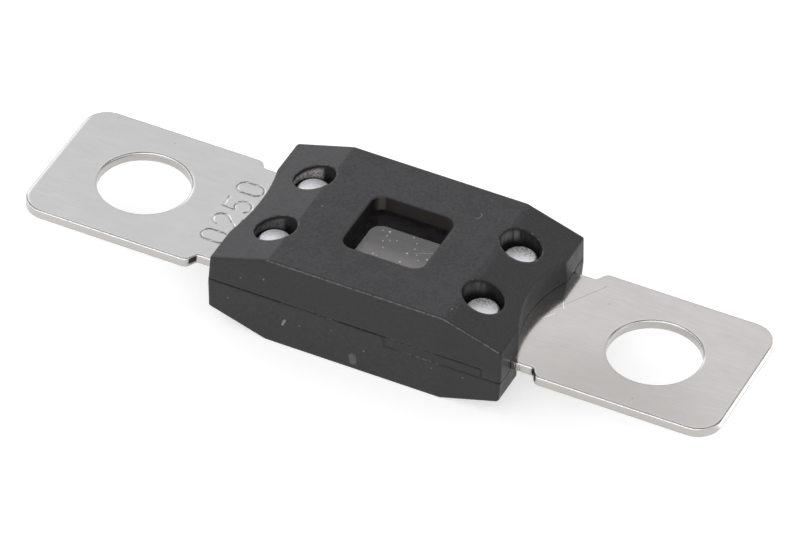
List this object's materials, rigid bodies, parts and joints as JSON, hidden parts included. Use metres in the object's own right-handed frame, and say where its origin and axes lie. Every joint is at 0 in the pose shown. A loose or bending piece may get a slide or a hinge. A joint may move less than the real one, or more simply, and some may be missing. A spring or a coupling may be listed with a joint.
{
  "type": "bolt-down strip fuse",
  "caption": "High-current fuse: a plated metal strip with a bolt hole in each blade, clamped in a black faceted housing with a window over its narrow link.",
  "frame": {"origin": "centre of the strip, midway between the bolt holes and between the two faces of the housing", "axes": "+X along the strip from one bolt hole to the other, +Y across it, +Z out of the upper window"},
  "size_m": [0.0688, 0.0184, 0.0092],
  "materials": {
    "plated_strip": "bright satin plating with a fine lengthwise grain",
    "black_moulding": "fine-textured black moulded plastic, edges rubbed a little lighter",
    "clear_pane": "clear, slightly smoky plastic pane",
    "rivet_metal": "bare, pressed and lightly pitted"
  },
  "bodies": {
    "root": {"fuse_element": "plated_strip", "upper_housing": "black_moulding", "lower_housing": "black_moulding", "upper_window": "clear_pane", "lower_window": "clear_pane", "rivets": "rivet_metal"}
  },
  "joints": []
}
